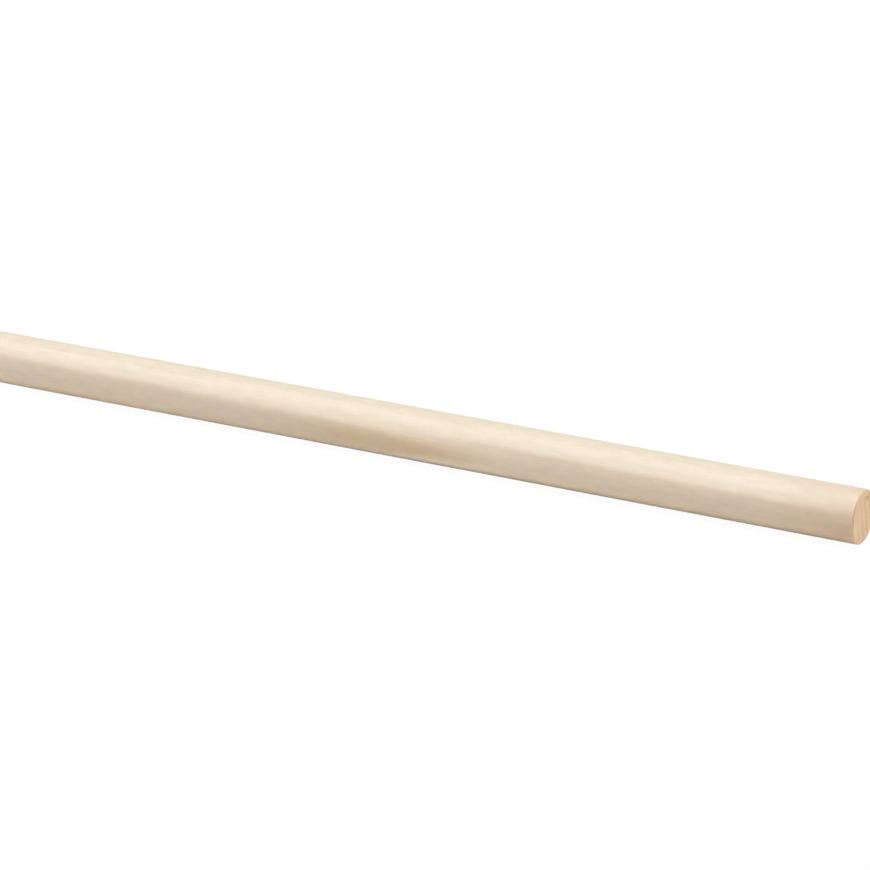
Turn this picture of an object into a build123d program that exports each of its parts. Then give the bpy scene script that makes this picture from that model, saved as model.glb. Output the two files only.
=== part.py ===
"""Wooden dowel rod: one straight round stick, turned from a single piece of pale hardwood.

The rod lies along X with its mid-length on the origin and +Z up. Both ends are sawn square
to the axis, and the sharp arris left by the saw is sanded to a small round.
All sizes are in millimetres.
"""

import os

from build123d import *

# Driving dimensions
rod_diameter = 12.0
rod_length = 300.0
arris_radius = 0.3  # the sanded round between each sawn end and the side

# The round is sanded into the end, so it can't take more than the rod's own radius.
arris = min(arris_radius, 0.45 * rod_diameter)

with BuildPart() as dowel_rod:
    # Round section on the far end's plane, drawn out along the grain to the near end.
    with BuildSketch(Plane.YZ.offset(-rod_length / 2)) as section:
        Circle(radius=rod_diameter / 2)
    extrude(amount=rod_length)

    # The two sawn rims, one at each end, are eased all the way round.
    sawn_rims = dowel_rod.edges().filter_by(GeomType.CIRCLE)
    fillet(sawn_rims, radius=arris)

dowel_rod.part.label = "dowel_rod"

os.makedirs("parts", exist_ok=True)
export_step(dowel_rod.part, "parts/dowel_rod.step")
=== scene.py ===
"""Looks of the wooden dowel rod: its sanded side, its sawn ends, the studio and the camera.

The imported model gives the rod's length and thickness. The rod is turned again here from the same
sizes with a finer surface: sanding waves, raised grain, saw marks on the ends and a worn arris.
One description of how the wood grew drives both that surface and the colours on it.
Lengths are in metres, except in the wood's pattern and relief, which are in millimetres.
"""

import logging
import math
from dataclasses import dataclass
from enum import Enum
from typing import Any, Mapping, Union

import bmesh
import bpy
from mathutils import Matrix, Vector, noise

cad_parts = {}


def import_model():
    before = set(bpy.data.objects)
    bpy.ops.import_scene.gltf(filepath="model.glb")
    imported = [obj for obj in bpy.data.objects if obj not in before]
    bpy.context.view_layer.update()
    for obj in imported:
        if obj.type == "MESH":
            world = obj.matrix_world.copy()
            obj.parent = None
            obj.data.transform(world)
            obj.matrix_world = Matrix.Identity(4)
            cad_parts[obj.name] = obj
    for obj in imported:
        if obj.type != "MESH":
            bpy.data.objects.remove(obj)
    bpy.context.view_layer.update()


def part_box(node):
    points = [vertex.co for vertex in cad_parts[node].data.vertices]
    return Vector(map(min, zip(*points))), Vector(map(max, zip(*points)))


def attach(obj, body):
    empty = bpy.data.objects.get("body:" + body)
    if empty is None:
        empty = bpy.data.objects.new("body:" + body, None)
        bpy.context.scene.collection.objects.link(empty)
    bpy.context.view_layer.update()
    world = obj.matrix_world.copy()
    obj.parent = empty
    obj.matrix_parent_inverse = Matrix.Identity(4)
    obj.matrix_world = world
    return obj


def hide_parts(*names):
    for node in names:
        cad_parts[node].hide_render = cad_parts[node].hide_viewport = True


LOG = logging.getLogger("dowel_rod")

NODE = "dowel_rod"
BODY = "root"

MM = 0.001
TURN = 2 * math.pi
MERGE = 0.001 * MM
TINY = 1e-9

Colour = tuple[float, float, float]
Number = Union[float, "Value"]
Socket = bpy.types.NodeSocket

WHITE: Colour = (1.0, 1.0, 1.0)


class SawnEnd(Enum):
    """The rod's two sawn ends, each with the side of the middle that it lies on."""

    NEAR = 1
    FAR = -1

    @classmethod
    def beside(cls, x: float) -> "SawnEnd":
        """The end that lies on the same side of the middle as x."""
        return cls.NEAR if x > 0 else cls.FAR


class Surface(Enum):
    """The rod's two kinds of surface, each with its place in the material list."""

    SIDE = 0
    SAWN = 1


# ---------------------------------------------------------------------------------------------
# Shader maths
# ---------------------------------------------------------------------------------------------


class Value:
    """A number on a shader socket. Arithmetic on it adds Math nodes."""

    def __init__(self, bench: "NodeBench", socket: Socket) -> None:
        """Wraps an output socket of one of the bench's nodes."""
        self.bench = bench
        self.socket = socket

    def math(self, operation: str, *numbers: Number) -> "Value":
        """Adds a Math node.

        Args:
            operation: the Math node's operation.
            numbers: what it works on, in order.

        Returns:
            The node's result.
        """
        sockets = dict(zip(("Value", "Value_001", "Value_002"), numbers))
        return self.bench.value("ShaderNodeMath", {"operation": operation}, sockets)

    def __add__(self, other: Number) -> "Value":
        """self + other"""
        return self.math("ADD", self, other)

    def __radd__(self, other: Number) -> "Value":
        """other + self"""
        return self.math("ADD", other, self)

    def __sub__(self, other: Number) -> "Value":
        """self - other"""
        return self.math("SUBTRACT", self, other)

    def __rsub__(self, other: Number) -> "Value":
        """other - self"""
        return self.math("SUBTRACT", other, self)

    def __mul__(self, other: Number) -> "Value":
        """self * other"""
        return self.math("MULTIPLY", self, other)

    def __rmul__(self, other: Number) -> "Value":
        """other * self"""
        return self.math("MULTIPLY", other, self)

    def __truediv__(self, other: Number) -> "Value":
        """self / other"""
        return self.math("DIVIDE", self, other)

    def __rtruediv__(self, other: Number) -> "Value":
        """other / self"""
        return self.math("DIVIDE", other, self)

    def __pow__(self, other: Number) -> "Value":
        """self ** other"""
        return self.math("POWER", self, other)

    def __rpow__(self, other: Number) -> "Value":
        """other ** self"""
        return self.math("POWER", other, self)

    def __mod__(self, other: Number) -> "Value":
        """self % other, never below 0"""
        return self.math("FLOORED_MODULO", self, other)


def sine(angle: Number) -> Number:
    """The sine of an angle in radians, as a number or on the shader."""
    return angle.math("SINE", angle) if isinstance(angle, Value) else math.sin(angle)


def bell(offset: Number) -> Number:
    """A smooth bump: 1 where offset is 0, about a third at 1, and nearly nothing past 2."""
    return math.e ** (-1.0 * offset * offset)


@dataclass(frozen=True)
class Step:
    """A smooth step from 0 at start to 1 at end. Start may lie above end, for a step down."""

    start: float
    end: float

    def at(self, value: Number) -> Number:
        """Reads off the step.

        Args:
            value: a number, or one on the shader.

        Returns:
            The height of the step there, from 0 to 1.
        """
        if isinstance(value, Value):
            settings = {"interpolation_type": "SMOOTHSTEP"}
            sockets = {"Value": value, "From Min": self.start, "From Max": self.end}
            return value.bench.value("ShaderNodeMapRange", settings, sockets)
        share = min(max((value - self.start) / (self.end - self.start), 0.0), 1.0)
        return share * share * (3 - 2 * share)


@dataclass(frozen=True)
class Graded:
    """An amount that changes evenly with something else, from base by gain for each unit."""

    base: float
    gain: float

    def at(self, value: Number) -> Number:
        """The amount there."""
        return self.base + self.gain * value


@dataclass(frozen=True)
class Swell:
    """An amount that rises to its most at one place along the rod and dies away beside it."""

    x_mm: float
    half_length_mm: float
    most: float

    def at(self, x: Number) -> Number:
        """The amount there."""
        return self.most * bell((x - self.x_mm) / self.half_length_mm)


class NodeBench:
    """Builds the nodes of one material or world."""

    def __init__(self, tree: bpy.types.NodeTree) -> None:
        """Starts from an empty node tree."""
        self.tree = tree
        self.tree.nodes.clear()

    def node(
        self, kind: str, settings: Mapping[str, Any], sockets: Mapping[str, Any]
    ) -> bpy.types.Node:
        """Adds one node.

        Args:
            kind: the node's type.
            settings: its own settings, which are set before its sockets.
            sockets: for each input's identifier, a plain value or a link.

        Returns:
            The new node.
        """
        made = self.tree.nodes.new(kind)
        for name, setting in settings.items():
            setattr(made, name, setting)
        inputs = {socket.identifier: socket for socket in made.inputs}
        for name, given in sockets.items():
            source = given.socket if isinstance(given, Value) else given
            if isinstance(source, Socket):
                self.tree.links.new(source, inputs[name])
            elif inputs[name].type == "RGBA":
                inputs[name].default_value = (*source, 1.0)
            else:
                inputs[name].default_value = source
        return made

    def value(
        self, kind: str, settings: Mapping[str, Any], sockets: Mapping[str, Any]
    ) -> Value:
        """Adds one node and wraps its result.

        Args:
            kind: the node's type.
            settings: its own settings.
            sockets: its inputs' values or links.

        Returns:
            Its first output, ready for arithmetic.
        """
        return Value(self, self.node(kind, settings, sockets).outputs[0])

    def vector(self, x: Number, y: Number, z: Number) -> Socket:
        """Joins three numbers to a vector."""
        return self.node("ShaderNodeCombineXYZ", {}, {"X": x, "Y": y, "Z": z}).outputs[0]

    def noise(self, place: Socket, detail: float = 1.0, rough: float = 0.5) -> Value:
        """A smooth random pattern about a unit apart, from 0 to 1 with a mean of a half."""
        sockets = {"Vector": place, "Scale": 1.0, "Detail": detail, "Roughness": rough}
        return self.value("ShaderNodeTexNoise", {}, sockets)

    def mix(self, share: Number, below: Any, above: Any) -> Socket:
        """Lays one colour over another.

        Args:
            share: how much of the upper one shows, from 0 to 1.
            below: the lower colour.
            above: the upper colour.

        Returns:
            The mixed colour.
        """
        settings = {"data_type": "RGBA", "clamp_factor": True}
        sockets = {"Factor_Float": share, "A_Color": below, "B_Color": above}
        mixed = self.node("ShaderNodeMix", settings, sockets)
        return next(s for s in mixed.outputs if s.identifier == "Result_Color")

    def scale(self, vector: Socket, by: Number) -> Socket:
        """Multiplies a colour or a vector by one number."""
        sockets = {"Vector": vector, "Scale": by}
        return self.node("ShaderNodeVectorMath", {"operation": "SCALE"}, sockets).outputs[0]

    def mix_shaders(
        self, share: Number, below: bpy.types.Node, above: bpy.types.Node
    ) -> Socket:
        """Lays one shader over another.

        Args:
            share: how much of the upper one shows, from 0 to 1.
            below: the lower shader's node.
            above: the upper shader's node.

        Returns:
            The mixed shader.
        """
        sockets = {"Fac": share, "Shader": below.outputs[0], "Shader_001": above.outputs[0]}
        return self.node("ShaderNodeMixShader", {}, sockets).outputs[0]


# ---------------------------------------------------------------------------------------------
# How the wood grew. Each formula takes plain numbers for the mesh, or shader values for the
# colours, so that the raised grain and the colours follow the same rings.
# ---------------------------------------------------------------------------------------------


@dataclass(frozen=True)
class BrownStreak:
    """A brown streak on the front, where the surface cuts one ring lengthwise."""

    x_mm: float = 41.2
    z_mm: float = -0.52
    half_length_mm: float = 20.3
    half_height_mm: float = 2.36
    front: Step = Step(-2.0, -5.0)
    bend_mm: Swell = Swell(x_mm=36.5, half_length_mm=14.0, most=0.157)

    def stain(self, x: Number, y: Number, z: Number) -> Number:
        """How strongly the wood is stained.

        Args:
            x: the place along the rod.
            y: the place across it, from front to back.
            z: the height.

        Returns:
            The strength, from 0 to 1.
        """
        along = (x - self.x_mm) / self.half_length_mm
        up = (z - self.z_mm) / self.half_height_mm
        return bell(along * along) * bell(up * up) * self.front.at(y)


@dataclass(frozen=True)
class Growth:
    """The growth rings that the rod was cut from. The pith lies outside the rod, low in front."""

    pith_y_mm: float = -46.2
    pith_z_mm: float = -11.7
    slope: float = 0.0200
    sway_mm: float = 0.430
    sway_length_mm: float = 143.5
    sway_start: float = -1.82
    first_ring_mm: float = 43.00
    ring_mm: float = 2.74
    narrowing: float = 0.034
    ring_end: float = 0.881
    densening: Step = Step(0.0, 0.64)
    ending: Step = Step(1.0, 0.67)
    fade: Step = Step(1.3, 4.4)
    # Painted shade: the very top is darker, so that the pale band below it looks like a highlight.
    high: Step = Step(4.75, 5.95)
    top_shade_tone: float = 0.50
    # Painted shade: the side gets darker low down, towards the floor.
    low: Step = Step(-2.4, -4.6)
    low_shade_tone: float = 0.27
    pale_reaches_mm: tuple[Swell, ...] = (
        Swell(x_mm=-5.0, half_length_mm=16.0, most=0.9),
        Swell(x_mm=47.0, half_length_mm=14.0, most=0.9),
        Swell(x_mm=91.0, half_length_mm=14.0, most=-0.4),
    )
    streak: BrownStreak = BrownStreak()

    def radius(self, x: Number, y: Number, z: Number) -> Number:
        """The distance from the pith, as the sloping and swaying grain runs.

        Args:
            x: the place along the rod.
            y: the place across it, from front to back.
            z: the height.

        Returns:
            The distance, drawn in a little where the streak is.
        """
        aside = y - self.pith_y_mm
        above = z - self.pith_z_mm
        sway = self.sway_mm * sine(x * (TURN / self.sway_length_mm) + self.sway_start)
        drift = self.slope * x + sway
        return (aside * aside + above * above) ** 0.5 + drift - self.streak.bend_mm.at(x)

    def age(self, radius: Number) -> Number:
        """The rings counted outwards, narrower as they go, with the season after the point."""
        growth = math.e ** ((radius - self.first_ring_mm) * self.narrowing) - 1.0
        return growth / (self.narrowing * self.ring_mm) + self.ring_end

    def latewood(self, age: Number) -> Number:
        """How dense the wood is, from 0 in spring to 1 late in the season."""
        season = age % 1.0
        return self.densening.at(season) * self.ending.at(season)

    def on_side(self, late: Number, x: Number, z: Number) -> Number:
        """How dense the side looks.

        Args:
            late: how dense the wood is, from 0 to 1.
            x: the place along the rod.
            z: the height.

        Returns:
            The same rings, which fade out higher up, with painted shade that darkens the very top
            and the low part. The pale wood above reaches further down along some stretches.
        """
        raised = z + sum(reach.at(x) for reach in self.pale_reaches_mm)
        fading = late * (1.0 - self.fade.at(raised))
        # Painted shade darkens the very top.
        upper = fading + self.top_shade_tone * self.high.at(z)
        # Painted shade darkens the low part.
        lower = self.low_shade_tone * self.low.at(z)
        return upper + (1.0 - upper) * lower


@dataclass(frozen=True)
class Saw:
    """The marks that a circular blade leaves across an end, as wide shallow arcs."""

    blade_mm: float = 125.0
    lean: float = 0.33
    pitch_mm: float = 0.74
    drift_length_mm: float = 2.9
    drift: float = 1.7
    uneven: Graded = Graded(0.62, 0.38)
    uneven_length_mm: float = 4.93
    uneven_start: float = 0.8
    sharpness: float = 2.0
    end_shift: float = 0.013
    depth_mm: float = 0.035

    def travel(self, x: Number, y: Number, z: Number) -> Number:
        """How far the blade had come when it cut here. The two ends differ.

        Args:
            x: the place along the rod.
            y: the place across it, from front to back.
            z: the height.

        Returns:
            The blade's way from the rod's axis.
        """
        side = y + self.blade_mm * math.cos(self.lean)
        up = z + self.blade_mm * math.sin(self.lean)
        return (side * side + up * up) ** 0.5 - self.blade_mm + self.end_shift * x

    def groove(self, x: Number, y: Number, z: Number) -> Number:
        """How deep the saw's mark is.

        Args:
            x: the place along the rod.
            y: the place across it, from front to back.
            z: the height.

        Returns:
            The depth, from 0 to 1.
        """
        travel = self.travel(x, y, z)
        drift = self.drift * sine(travel * (TURN / self.drift_length_mm))
        wave = sine(travel * (TURN / self.pitch_mm) + drift)
        uneven = self.uneven.at(sine(travel * (TURN / self.uneven_length_mm) + self.uneven_start))
        return (0.5 + 0.5 * wave) ** self.sharpness * uneven


# ---------------------------------------------------------------------------------------------
# Finishes
# ---------------------------------------------------------------------------------------------


@dataclass(frozen=True)
class Streaky:
    """A smooth random pattern in or on the wood, drawn out along the grain, from 0 to 1."""

    along_mm: float
    across_mm: float
    detail: float = 1.0
    rough: float = 0.5

    def shown(self, bench: NodeBench, x: Value, y: Value, z: Value) -> Value:
        """The pattern for a colour, on the shader."""
        place = bench.vector(x / self.along_mm, y / self.across_mm, z / self.across_mm)
        return bench.noise(place, self.detail, self.rough)

    def felt(self, x: float, y: float, z: float) -> float:
        """The pattern for the mesh, without its finer detail."""
        place = Vector((x / self.along_mm, y / self.across_mm, z / self.across_mm))
        return 0.5 + 0.5 * noise.noise(place)


@dataclass(frozen=True)
class Grain:
    """The wood's pattern on the shader, worked out once for a material."""

    x: Value
    y: Value
    z: Value
    late: Value
    on_side: Value
    fibre: Value
    pores: Value
    rays: Value
    figure: Value
    cloud: Value
    stain: Value


@dataclass(frozen=True)
class PaleHardwood:
    """Pale close-grained hardwood, bare and dry. Its pattern is solid, and runs out at the ends."""

    growth: Growth = Growth()
    waver: Streaky = Streaky(along_mm=31.0, across_mm=2.8, detail=5.0, rough=0.80)
    waver_mm: float = 0.13
    waver_height_mm: float = 1.5
    fibre: Streaky = Streaky(along_mm=9.0, across_mm=0.21, detail=4.0, rough=0.55)
    pore: Streaky = Streaky(along_mm=2.4, across_mm=0.085)
    pore_cut: Step = Step(0.62, 0.78)
    pores_by_density: Graded = Graded(1.0, -0.6)
    figure: Streaky = Streaky(along_mm=3.8, across_mm=1.5)
    cloud: Streaky = Streaky(along_mm=38.0, across_mm=4.2, detail=2.0)
    ray_mm: float = 0.16
    ray_height_mm: float = 1.1
    ray_depth_mm: float = 3.6
    ray_fan_mm: float = 41.0
    ray_cut: Step = Step(0.58, 0.76)

    def grain(self, bench: NodeBench) -> Grain:
        """Adds the nodes of the wood's pattern.

        Args:
            bench: the material's nodes.

        Returns:
            The pattern's parts, each a number on the shader.
        """
        place = bench.node("ShaderNodeTexCoord", {}, {}).outputs["Object"]
        split = bench.node("ShaderNodeSeparateXYZ", {}, {"Vector": bench.scale(place, 1 / MM)})
        x, y, z = (Value(bench, output) for output in split.outputs)
        growth = self.growth
        waver = self.waver.shown(bench, x, y, z) - 0.5
        height = z + waver * (2 * self.waver_height_mm)
        radius = growth.radius(x, y, z) + waver * (2 * self.waver_mm)
        late = growth.latewood(growth.age(radius))
        pores = self.pore_cut.at(self.pore.shown(bench, x, y, z))
        turn = (z - growth.pith_z_mm) / radius
        sheets = bench.vector(
            x / self.ray_height_mm,
            radius / self.ray_depth_mm,
            turn * (self.ray_fan_mm / self.ray_mm),
        )
        return Grain(
            x=x,
            y=y,
            z=z,
            late=late,
            on_side=growth.on_side(late, x, height),
            fibre=self.fibre.shown(bench, x, y, z),
            pores=pores * self.pores_by_density.at(late),
            rays=self.ray_cut.at(bench.noise(sheets)),
            figure=self.figure.shown(bench, x, y, z),
            cloud=self.cloud.shown(bench, x, y, z),
            stain=growth.streak.stain(x, y, height),
        )


@dataclass(frozen=True)
class Tint:
    """A colour that is laid over the wood, and how much of it shows where it is strongest."""

    colour: Colour
    share: float

    def over(self, bench: NodeBench, below: Socket, strength: Number) -> Socket:
        """Lays the tint over a colour, as strongly as it is here."""
        return bench.mix(strength * self.share, below, self.colour)


@dataclass(frozen=True)
class BareWood:
    """What bare wood's shader needs besides its colour: its gloss and its fine relief."""

    sheen_level: float
    relief: float = 0.03 * MM
    relief_strength: float = 0.9

    def finish(self, bench: NodeBench, colour: Socket, rough: Value, height: Value) -> None:
        """Ends a wood material with its shader.

        Args:
            bench: the material's nodes.
            colour: the colour over the surface.
            rough: the roughness over the surface.
            height: the fine relief over the surface, in shares of the relief's depth.
        """
        sockets = {
            "Strength": self.relief_strength,
            "Distance": self.relief,
            "Height": height,
        }
        bump = bench.node("ShaderNodeBump", {}, sockets)
        sockets = {
            "Base Color": colour,
            "Roughness": rough,
            "Specular IOR Level": self.sheen_level,
            "Normal": bump.outputs["Normal"],
        }
        shader = bench.node("ShaderNodeBsdfPrincipled", {}, sockets)
        bench.node("ShaderNodeOutputMaterial", {}, {"Surface": shader.outputs[0]})


@dataclass(frozen=True)
class SandedSide:
    """The side of the rod: cut along the grain, sanded fine and left bare.

    It is darker and pinker towards its near end, and has painted shade, greyer, low down in front
    where it meets the floor. Where a step is along the rod, across it or up it, it is in
    millimetres.
    """

    wood: PaleHardwood = PaleHardwood()
    pale: Colour = (0.766, 0.681, 0.561)
    dense: Colour = (0.648, 0.556, 0.434)
    warm: Tint = Tint((0.772, 0.668, 0.519), share=0.35)
    warm_clouds: Step = Step(0.42, 0.72)
    ray: Tint = Tint((0.806, 0.721, 0.594), share=0.22)
    pore: Tint = Tint((0.541, 0.424, 0.298), share=0.30)
    brown: Tint = Tint((0.690, 0.535, 0.330), share=0.60)
    # Darker and pinker towards the near end, less so high up.
    near_end_tint: Colour = (0.635, 0.464, 0.340)
    near_end_tint_reach: Step = Step(124.0, 158.0)
    near_end_tint_by_cloud: Graded = Graded(0.42, 0.5)
    near_end_tint_top: Step = Step(2.4, 4.0)
    near_end_tint_by_top: Graded = Graded(1.10, -0.46)
    # Painted shade: a greyer, darker band low down in front, along the edge where the rod meets the
    # floor.
    painted_contact_shade: Colour = (0.425, 0.405, 0.340)
    contact_shade_foot: Step = Step(-3.6, -4.8)
    contact_shade_front: Step = Step(-0.6, -2.2)
    contact_shade_half: Step = Step(-5.0, 25.0)
    contact_shade_by_half: Graded = Graded(0.03, 0.35)
    lightness: float = 0.870
    fibre_light: float = 0.14
    figure_light: float = 0.12
    roughness: float = 0.50
    fibre_rough: float = 0.10
    pore_rough: float = 0.10
    ray_smooth: float = 0.06
    fibre_height: float = 0.5
    pore_depth: float = 0.45
    dense_height: float = 0.12
    bare: BareWood = BareWood(sheen_level=0.06)

    def colour(self, bench: NodeBench, grain: Grain) -> Socket:
        """Works out the colour over the side.

        Args:
            bench: the material's nodes.
            grain: the wood's pattern.

        Returns:
            The colour.
        """
        colour = bench.mix(grain.on_side, self.pale, self.dense)
        colour = self.warm.over(bench, colour, self.warm_clouds.at(grain.cloud))
        colour = self.ray.over(bench, colour, grain.rays)
        colour = self.pore.over(bench, colour, grain.pores)
        colour = self.brown.over(bench, colour, grain.stain)
        # Darker and pinker towards the near end, less so high up.
        near_end_tinted = self.near_end_tint_reach.at(grain.x) * self.near_end_tint_by_cloud.at(grain.cloud)
        near_end_tinted = near_end_tinted * self.near_end_tint_by_top.at(self.near_end_tint_top.at(grain.z))
        colour = bench.mix(near_end_tinted, colour, self.near_end_tint)
        # Painted shade along the bottom edge in front, where the rod rests on the floor, stronger
        # on the near half.
        under = self.contact_shade_foot.at(grain.z) * self.contact_shade_front.at(grain.y)
        under = under * self.contact_shade_by_half.at(self.contact_shade_half.at(grain.x))
        colour = bench.mix(under, colour, self.painted_contact_shade)
        light = self.lightness + self.fibre_light * grain.fibre + self.figure_light * grain.figure
        return bench.scale(colour, light)

    def material(self) -> bpy.types.Material:
        """Builds the finish.

        Returns:
            The material.
        """
        made = bpy.data.materials.new("sanded_side")
        made.use_nodes = True
        bench = NodeBench(made.node_tree)
        grain = self.wood.grain(bench)
        rough = self.roughness + self.fibre_rough * (grain.fibre - 0.5)
        rough = rough + self.pore_rough * grain.pores - self.ray_smooth * grain.rays
        height = self.fibre_height * grain.fibre - self.pore_depth * grain.pores
        height = height + self.dense_height * grain.late
        self.bare.finish(bench, self.colour(bench, grain), rough, height)
        return made


@dataclass(frozen=True)
class PithFleck:
    """A small dark fleck that runs along the wood, and shows where the saw cut across it."""

    colour: Colour = (0.400, 0.205, 0.110)
    y_mm: float = 1.75
    z_mm: float = 3.85
    half_height_mm: float = 0.50
    wideness: float = 1.6
    raggedness: float = 0.9
    halo: float = 0.50
    core: float = 0.3
    core_tightness: float = 2.5

    def share(self, grain: Grain) -> Number:
        """How much of the fleck's colour shows.

        Args:
            grain: the wood's pattern.

        Returns:
            The share, most in the fleck's core and less in the halo round it.
        """
        aside = (grain.y - self.y_mm) / self.wideness
        above = grain.z - self.z_mm
        away = (aside * aside + above * above) ** 0.5 / self.half_height_mm
        away = away + self.raggedness * (grain.fibre - 0.5)
        return self.halo * bell(away) + self.core * bell(away * away * self.core_tightness)


@dataclass(frozen=True)
class ShadedRimSide:
    """One side of a sawn end's rim, where its painted shade is broader and stronger. It is given by
    the way to it.
    """

    y: float
    z: float
    reach: Step

    def rim_shading(self, y: Number, z: Number) -> Number:
        """How strong the rim's painted shade is, at a place in radii of the rod, from 0 to 1."""
        return self.reach.at(self.y * y + self.z * z)


@dataclass(frozen=True)
class SawnFace:
    """A sawn end: the fibres are cut across, so it looks darker, warmer and drier than the side."""

    radius_mm: float
    wood: PaleHardwood = PaleHardwood()
    saw: Saw = Saw()
    pale: Colour = (0.730, 0.545, 0.355)
    dense: Colour = (0.590, 0.395, 0.225)
    dense_side: Step = Step(-3.5, 3.0)
    dense_share: Graded = Graded(0.28, 0.44)
    torn: Tint = Tint((0.780, 0.610, 0.430), share=0.4)
    torn_clouds: Step = Step(0.35, 0.75)
    torn_rays: float = 0.8
    groove_share: float = 0.18
    fleck: PithFleck = PithFleck()
    shaded_rim_sides: tuple[ShadedRimSide, ...] = (
        ShadedRimSide(y=1.0, z=-0.1, reach=Step(-0.55, -0.95)),
        ShadedRimSide(y=0.5, z=-0.87, reach=Step(0.74, 0.92)),
    )
    rim_shading_reach_mm: float = 0.34
    rim_waver_mm: float = 0.5
    pressed: Colour = (0.800, 0.640, 0.450)
    pressed_in_mm: float = 1.3
    pressed_mm: float = 0.3
    pressed_share: Graded = Graded(0.1, 0.3)
    # Painted shade: a dark edge round the sawn end, along its arris.
    rim: Colour = (0.430, 0.310, 0.190)
    rim_mm: Graded = Graded(0.45, 0.6)
    rim_edge: Step = Step(1.0, 0.15)
    rim_share: Graded = Graded(0.12, 0.55)
    pore: Tint = Tint((0.400, 0.255, 0.145), share=0.6)
    fibre_light: Graded = Graded(0.90, 0.20)
    roughness: float = 0.72
    fibre_rough: float = 0.12
    fibre_height: float = 0.6
    pore_depth: float = 0.6
    bare: BareWood = BareWood(sheen_level=0.25)

    def rim_over(self, bench: NodeBench, below: Socket, grain: Grain) -> Socket:
        """Lays the rim over the end's colour: painted shade along the edge, and a paler ring inside
        it.

        Args:
            bench: the material's nodes.
            below: the end's colour.
            grain: the wood's pattern.

        Returns:
            The colour with the rim, both broader and stronger where the rim's painted shade is
            strongest.
        """
        y, z = grain.y, grain.z
        across, up = y / self.radius_mm, z / self.radius_mm
        rim_shading = sum(side.rim_shading(across, up) for side in self.shaded_rim_sides)
        out = (y * y + z * z) ** 0.5 + self.rim_shading_reach_mm * rim_shading
        out = out + self.rim_waver_mm * (grain.figure - 0.5)
        pressed = bell((out - (self.radius_mm - self.pressed_in_mm)) / self.pressed_mm)
        colour = bench.mix(pressed * self.pressed_share.at(rim_shading), below, self.pressed)
        # Painted shade along the end's edge, broader and stronger in front and low down.
        edge = self.rim_edge.at((self.radius_mm - out) / self.rim_mm.at(rim_shading))
        return bench.mix(edge * self.rim_share.at(rim_shading), colour, self.rim)

    def colour(self, bench: NodeBench, grain: Grain) -> Socket:
        """Works out the colour over the end.

        Args:
            bench: the material's nodes.
            grain: the wood's pattern.

        Returns:
            The colour.
        """
        groove = self.saw.groove(grain.x, grain.y, grain.z)
        streaks = self.dense_share.at(self.dense_side.at(grain.y))
        colour = bench.mix(grain.late * streaks, self.pale, self.dense)
        colour = self.torn.over(bench, colour, self.torn_clouds.at(grain.cloud))
        colour = bench.mix(grain.rays * (self.torn_rays * streaks), colour, self.torn.colour)
        colour = bench.mix(groove * self.groove_share, colour, self.dense)
        colour = bench.mix(self.fleck.share(grain), colour, self.fleck.colour)
        colour = self.rim_over(bench, colour, grain)
        colour = self.pore.over(bench, colour, grain.pores)
        return bench.scale(colour, self.fibre_light.at(grain.fibre))

    def material(self) -> bpy.types.Material:
        """Builds the finish.

        Returns:
            The material.
        """
        made = bpy.data.materials.new("sawn_end")
        made.use_nodes = True
        bench = NodeBench(made.node_tree)
        grain = self.wood.grain(bench)
        rough = self.roughness + self.fibre_rough * (grain.fibre - 0.5)
        height = self.fibre_height * grain.fibre - self.pore_depth * grain.pores
        self.bare.finish(bench, self.colour(bench, grain), rough, height)
        return made


# ---------------------------------------------------------------------------------------------
# The rod
# ---------------------------------------------------------------------------------------------


@dataclass(frozen=True)
class ArrisWear:
    """How each end's sharp edge is rubbed round and, here and there, chipped."""

    rub_mm: float = 0.05
    rub_fineness: float = 2.2
    chip_mm: float = 0.12
    chip_fineness: float = 4.6
    chip_cut: Step = Step(0.15, 0.65)
    chips_apart: float = 3.1
    ends_apart: float = 7.3

    @staticmethod
    def round_rim(start: float, fineness: float, turn: float) -> float:
        """A smooth random pattern round the rim, from -1 to 1, that meets itself again."""
        return noise.noise(Vector((start, fineness * math.cos(turn), fineness * math.sin(turn))))

    def depth(self, end: SawnEnd, turn: float) -> float:
        """How far the arris is worn back, in millimetres.

        Args:
            end: the end that is meant.
            turn: the angle round its rim.

        Returns:
            The wear there.
        """
        start = self.ends_apart * end.value
        rub = self.round_rim(start, self.rub_fineness, turn)
        chip = self.round_rim(start + self.chips_apart, self.chip_fineness, turn)
        return self.rub_mm * (0.5 + 0.5 * rub) + self.chip_mm * self.chip_cut.at(chip)


@dataclass(frozen=True)
class MapLayout:
    """Where the rod's surfaces lie on its bake map, in shares of the map's width and height.

    The side is one strip above, stretched across the grain, where the wood's detail is finest.
    The two ends are discs below it, each as far beside the middle between them.
    """

    strip_low: float = 0.30
    strip_high: float = 0.99
    strip_margin: float = 0.01
    discs_middle: float = 0.4
    disc_aside: float = 0.2
    disc_height: float = 0.15
    disc_radius: float = 0.138


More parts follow.
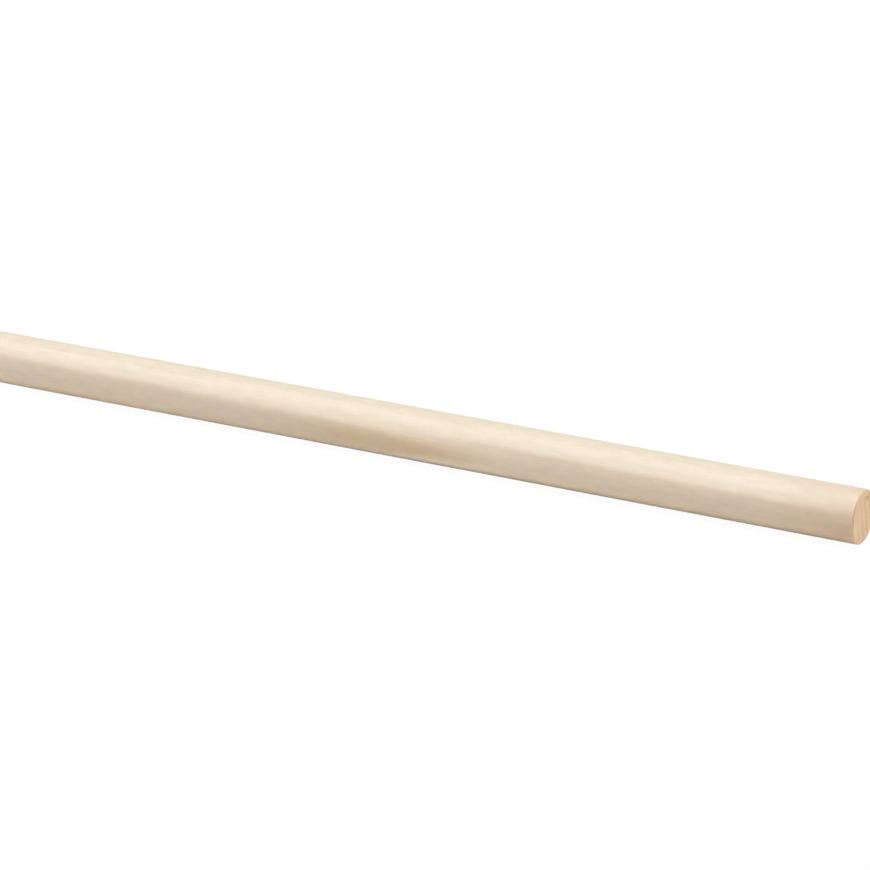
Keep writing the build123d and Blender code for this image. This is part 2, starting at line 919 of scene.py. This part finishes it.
@dataclass
class DowelRod:
    """The rod, turned from one piece of wood and sawn square at both ends."""

    length: float
    radius: float
    arris: float = 0.30 * MM
    arris_on_end: float = 0.6
    segments: int = 176
    stations: int = 400
    face_rings: int = 38
    arris_steps: int = 4
    sanding: Streaky = Streaky(along_mm=24.0, across_mm=3.4)
    sanding_mm: float = 0.030
    scratches: Streaky = Streaky(along_mm=9.0, across_mm=0.42)
    scratch_mm: float = 0.007
    raised_grain_mm: float = 0.010
    growth: Growth = Growth()
    saw: Saw = Saw()
    wear: ArrisWear = ArrisWear()
    layout: MapLayout = MapLayout()

    def turn(self) -> bmesh.types.BMesh:
        """Spins the rod's outline about its axis, with both arrises rounded.

        Returns:
            The closed, smooth rod with its surface finely divided.
        """
        bm = bmesh.new()
        half = self.length / 2
        corners = [(-half, 0.0), (-half, self.radius), (half, self.radius), (half, 0.0)]
        points = [bm.verts.new((x, 0.0, -r)) for x, r in corners]
        lines = [bm.edges.new(pair) for pair in zip(points, points[1:])]
        bmesh.ops.bevel(
            bm,
            geom=points[1:3],
            offset=self.arris,
            offset_type="OFFSET",
            segments=self.arris_steps,
            profile=0.5,
            affect="VERTICES",
            material=-1,
        )
        # Next to the small steps of the rounded arrises, the straight lines are the longest edges.
        by_length = sorted(bm.edges, key=lambda edge: edge.calc_length())
        for edge in by_length[-len(lines) :]:
            lies_along = abs(edge.verts[0].co.x - edge.verts[1].co.x) > self.radius
            cuts = self.stations if lies_along else self.face_rings
            bmesh.ops.subdivide_edges(bm, edges=[edge], cuts=cuts - 1)
        bmesh.ops.spin(
            bm,
            geom=bm.verts[:] + bm.edges[:],
            cent=(0.0, 0.0, 0.0),
            axis=(1.0, 0.0, 0.0),
            angle=TURN,
            steps=self.segments,
            use_merge=True,
        )
        bmesh.ops.remove_doubles(bm, verts=bm.verts[:], dist=MERGE)
        self.put_in_order(bm)
        bmesh.ops.recalc_face_normals(bm, faces=bm.faces[:])
        return bm

    @staticmethod
    def put_in_order(bm: bmesh.types.BMesh) -> None:
        """Orders edges and faces by their corners. A spin leaves them in a new order each run.

        Args:
            bm: the spun rod.
        """
        bm.verts.index_update()
        for parts in (bm.edges, bm.faces):
            ordered = sorted(parts, key=lambda part: sorted(vert.index for vert in part.verts))
            for index, part in enumerate(ordered):
                part.index = index
            parts.sort()

    def side_depth(self, x: float, y: float, z: float) -> float:
        """How far sanding and the grain leave the side below its full size, in millimetres.

        Args:
            x: the place along the rod.
            y: the place across it, from front to back.
            z: the height.

        Returns:
            The depth there.
        """
        late = self.growth.latewood(self.growth.age(self.growth.radius(x, y, z)))
        sunk = self.raised_grain_mm * (1 - self.growth.on_side(late, x, z))
        wave = self.sanding_mm * self.sanding.felt(x, y, z)
        return wave + sunk + self.scratch_mm * self.scratches.felt(x, y, z)

    def relief(self, bm: bmesh.types.BMesh) -> None:
        """Moves the surface inwards for sanding, raised grain, saw marks and a worn arris.

        Args:
            bm: the rod at its full size.
        """
        half_mm = self.length / 2 / MM
        radius_mm = self.radius / MM
        to_end = Step(half_mm - self.arris / MM, half_mm)
        to_side = Step(radius_mm - 2 * self.arris / MM, radius_mm - self.arris / MM)
        for vert in bm.verts:
            x, y, z = (c / MM for c in vert.co)
            end = SawnEnd.beside(x)
            out = math.hypot(y, z)
            sawn = to_end.at(abs(x))
            turned = to_side.at(out)
            worn = sawn * turned
            wear = self.wear.depth(end, math.atan2(z, y)) * worn if worn else 0.0
            inwards = self.side_depth(x, y, z) * turned + wear
            back = self.saw.depth_mm * self.saw.groove(x, y, z) * sawn + wear
            shrink = 1 - inwards / out if out > TINY / MM else 1.0
            vert.co = Vector(((x - back * end.value) * MM, y * shrink * MM, z * shrink * MM))

    def on_disc(self, place: Vector) -> tuple[float, float]:
        """Finds a place of a sawn end on the bake map.

        Args:
            place: the place on the rod.

        Returns:
            Its place on the end's disc, with the arris laid out flat round it.
        """
        layout = self.layout
        widest = self.radius - self.arris + self.arris * math.pi / 2
        out = math.hypot(place.y, place.z)
        drop = max(self.length / 2 - abs(place.x), 0.0)
        spread = layout.disc_radius * min(out + drop, widest) / widest / max(out, TINY)
        middle = layout.discs_middle + layout.disc_aside * SawnEnd.beside(place.x).value
        return middle + place.y * spread, layout.disc_height + place.z * spread

    def on_strip(self, place: Vector, centre: Vector) -> tuple[float, float]:
        """Finds a place of the side on the bake map.

        Args:
            place: the place on the rod.
            centre: the middle of its face, which keeps a face at the strip's edge in one piece.

        Returns:
            Its place on the strip.
        """
        layout = self.layout
        turn = math.atan2(place.z, -place.y) / TURN % 1.0
        beside = math.atan2(centre.z, -centre.y) / TURN % 1.0
        turn += round(beside - turn)
        along = (1 - 2 * layout.strip_margin) * (place.x + self.length / 2) / self.length
        up = (layout.strip_high - layout.strip_low) * turn
        return layout.strip_margin + along, layout.strip_low + up

    def lay_map(self, bm: bmesh.types.BMesh) -> None:
        """Gives the rod its bake map.

        Args:
            bm: the rod at its full size, its faces told apart by their surface.
        """
        layer = bm.loops.layers.uv.new("OFBake")
        for face in bm.faces:
            sawn = face.material_index == Surface.SAWN.value
            centre = face.calc_center_median()
            for loop in face.loops:
                place = loop.vert.co
                loop[layer].uv = self.on_disc(place) if sawn else self.on_strip(place, centre)

    def build(self) -> bpy.types.Object:
        """Makes the rod's piece and dresses it.

        Returns:
            The finished object, at the origin, with its place in its mesh.
        """
        bm = self.turn()
        edge = self.length / 2 - self.arris_on_end * self.arris
        for face in bm.faces:
            sawn = abs(face.calc_center_median().x) > edge
            face.material_index = (Surface.SAWN if sawn else Surface.SIDE).value
            face.smooth = True
        self.lay_map(bm)
        self.relief(bm)
        mesh = bpy.data.meshes.new("turned_rod")
        bm.to_mesh(mesh)
        bm.free()
        wood = PaleHardwood(growth=self.growth)
        mesh.materials.append(SandedSide(wood=wood).material())
        mesh.materials.append(
            SawnFace(radius_mm=self.radius / MM, wood=wood, saw=self.saw).material()
        )
        rod = bpy.data.objects.new("turned_rod", mesh)
        bpy.context.scene.collection.objects.link(rod)
        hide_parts(NODE)
        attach(rod, BODY)
        return rod


# ---------------------------------------------------------------------------------------------
# Studio and camera
# ---------------------------------------------------------------------------------------------


@dataclass(frozen=True)
class SoftLamp:
    """A soft lamp far away.

    Its height is an angle above the floor, and its turn one round from the front of the rod
    towards the near end. Its spread is how wide it looks from the rod, which softens shadows.
    Without glare it gives no highlights.
    """

    name: str
    strength: float
    height: float
    turn: float
    spread: float
    glare: bool = True

    def hang(self) -> bpy.types.Object:
        """Hangs the lamp.

        Returns:
            The lamp, which faces the rod.
        """
        data = bpy.data.lights.new(self.name, "SUN")
        data.energy = self.strength
        data.angle = self.spread
        lamp = bpy.data.objects.new(self.name, data)
        aside = math.sin(self.turn) * math.cos(self.height)
        ahead = math.cos(self.turn) * math.cos(self.height)
        towards = Vector((aside, -ahead, math.sin(self.height)))
        lamp.rotation_euler = towards.to_track_quat("Z", "Y").to_euler()
        lamp.visible_glossy = self.glare
        bpy.context.scene.collection.objects.link(lamp)
        return lamp


@dataclass
class Studio:
    """A plain pale floor under one broad soft light from above, with a fill on the near end."""

    floor_height: float
    floor_reach: float = 6.0
    floor_colour: Colour = (0.856, 0.797, 0.745)
    shadow_share: float = 0.04
    ambient: Colour = (0.03, 0.03, 0.03)
    key: SoftLamp = SoftLamp(
        "key",
        strength=3.42,
        height=math.radians(77.5),
        turn=0.0,
        spread=math.radians(45),
    )
    fill: SoftLamp = SoftLamp(
        "side_fill",
        strength=1.4,
        height=math.radians(12),
        turn=math.radians(86),
        spread=math.radians(40),
        glare=False,
    )

    @staticmethod
    def seen_directly(bench: NodeBench) -> Value:
        """Tells what the camera sees from what lights the rod.

        Args:
            bench: the nodes of a material or the world.

        Returns:
            1 for what the camera sees, straight or by reflection, and 0 for light on the rod.
        """
        path = bench.node("ShaderNodeLightPath", {}, {})
        camera, glossy, through = (
            Value(bench, path.outputs[name])
            for name in ("Is Camera Ray", "Is Glossy Ray", "Is Transmission Ray")
        )
        return camera.math("MAXIMUM", camera, glossy.math("MAXIMUM", glossy, through))

    def floor(self) -> bpy.types.Object:
        """Lays the floor that the rod rests on.

        Returns:
            The floor, which keeps a faint shadow of the rod.
        """
        bm = bmesh.new()
        lift = Matrix.Translation((0.0, 0.0, self.floor_height))
        bmesh.ops.create_grid(
            bm, x_segments=2, y_segments=2, size=self.floor_reach, matrix=lift
        )
        mesh = bpy.data.meshes.new("floor")
        bm.to_mesh(mesh)
        bm.free()
        made = bpy.data.materials.new("pale_floor")
        made.use_nodes = True
        bench = NodeBench(made.node_tree)
        seen = self.seen_directly(bench)
        colour = bench.mix(seen, self.floor_colour, WHITE)
        lit = bench.node("ShaderNodeBsdfDiffuse", {}, {"Color": colour})
        white = bench.node("ShaderNodeEmission", {}, {"Color": WHITE, "Strength": 1.0})
        both = bench.mix_shaders(seen * (1 - self.shadow_share), lit, white)
        bench.node("ShaderNodeOutputMaterial", {}, {"Surface": both})
        mesh.materials.append(made)
        floor = bpy.data.objects.new("floor", mesh)
        bpy.context.scene.collection.objects.link(floor)
        return floor

    def world(self) -> None:
        """Surrounds the scene with white to the eye and a dim even light on the rod."""
        world = bpy.data.worlds.new("studio")
        bpy.context.scene.world = world
        world.use_nodes = True
        bench = NodeBench(world.node_tree)
        even = bench.node("ShaderNodeBackground", {}, {"Color": self.ambient})
        white = bench.node("ShaderNodeBackground", {}, {"Color": WHITE})
        both = bench.mix_shaders(self.seen_directly(bench), even, white)
        bench.node("ShaderNodeOutputWorld", {}, {"Surface": both})

    def build(self) -> None:
        """Sets up the floor, the surroundings and the two lamps."""
        self.floor()
        self.world()
        self.key.hang()
        self.fill.hang()


@dataclass
class ViewPoint:
    """The camera: a long lens that looks down at the rod, past its near end.

    The middle of the near end lies aside to the right of the lens's axis, below it, and ahead of
    the lens. All three are in radii of the rod.
    """

    near_end: Vector
    radius: float
    lens_mm: float = 160.7
    sensor_mm: float = 36.0
    down: float = math.radians(19.71)
    turn: float = math.radians(28.82)
    aside: float = 15.0225
    below: float = 2.8779
    ahead: float = 136.1985

    def build(self) -> bpy.types.Object:
        """Places the camera.

        Returns:
            The camera, which the scene uses.
        """
        data = bpy.data.cameras.new("camera")
        data.lens = self.lens_mm
        data.sensor_width = self.sensor_mm
        camera = bpy.data.objects.new("camera", data)
        across, depth = math.cos(self.down), math.sin(self.down)
        forward = Vector((-math.sin(self.turn) * across, math.cos(self.turn) * across, -depth))
        right = Vector((math.cos(self.turn), math.sin(self.turn), 0.0))
        up = right.cross(forward)
        offset = self.aside * right - self.below * up + self.ahead * forward
        camera.location = self.near_end - self.radius * offset
        camera.rotation_euler = Matrix((right, up, -forward)).transposed().to_euler()
        bpy.context.scene.collection.objects.link(camera)
        bpy.context.scene.camera = camera
        return camera


def main() -> None:
    """Builds the rod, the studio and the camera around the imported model."""
    logging.basicConfig(level=logging.INFO, format="%(name)s: %(message)s")
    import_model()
    low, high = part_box(NODE)
    radius = min(high.y - low.y, high.z - low.z) / 2

    rod = DowelRod(length=high.x - low.x, radius=radius).build()
    LOG.info("%s: %d faces", rod.name, len(rod.data.polygons))

    Studio(floor_height=low.z).build()
    LOG.info("studio: floor at %.4f m", low.z)

    ViewPoint(near_end=Vector((high.x, 0.0, 0.0)), radius=(high.y - low.y) / 2).build()
    bpy.context.scene.view_settings.view_transform = "Standard"
    LOG.info("camera in place")


if __name__ == "__main__":
    main()
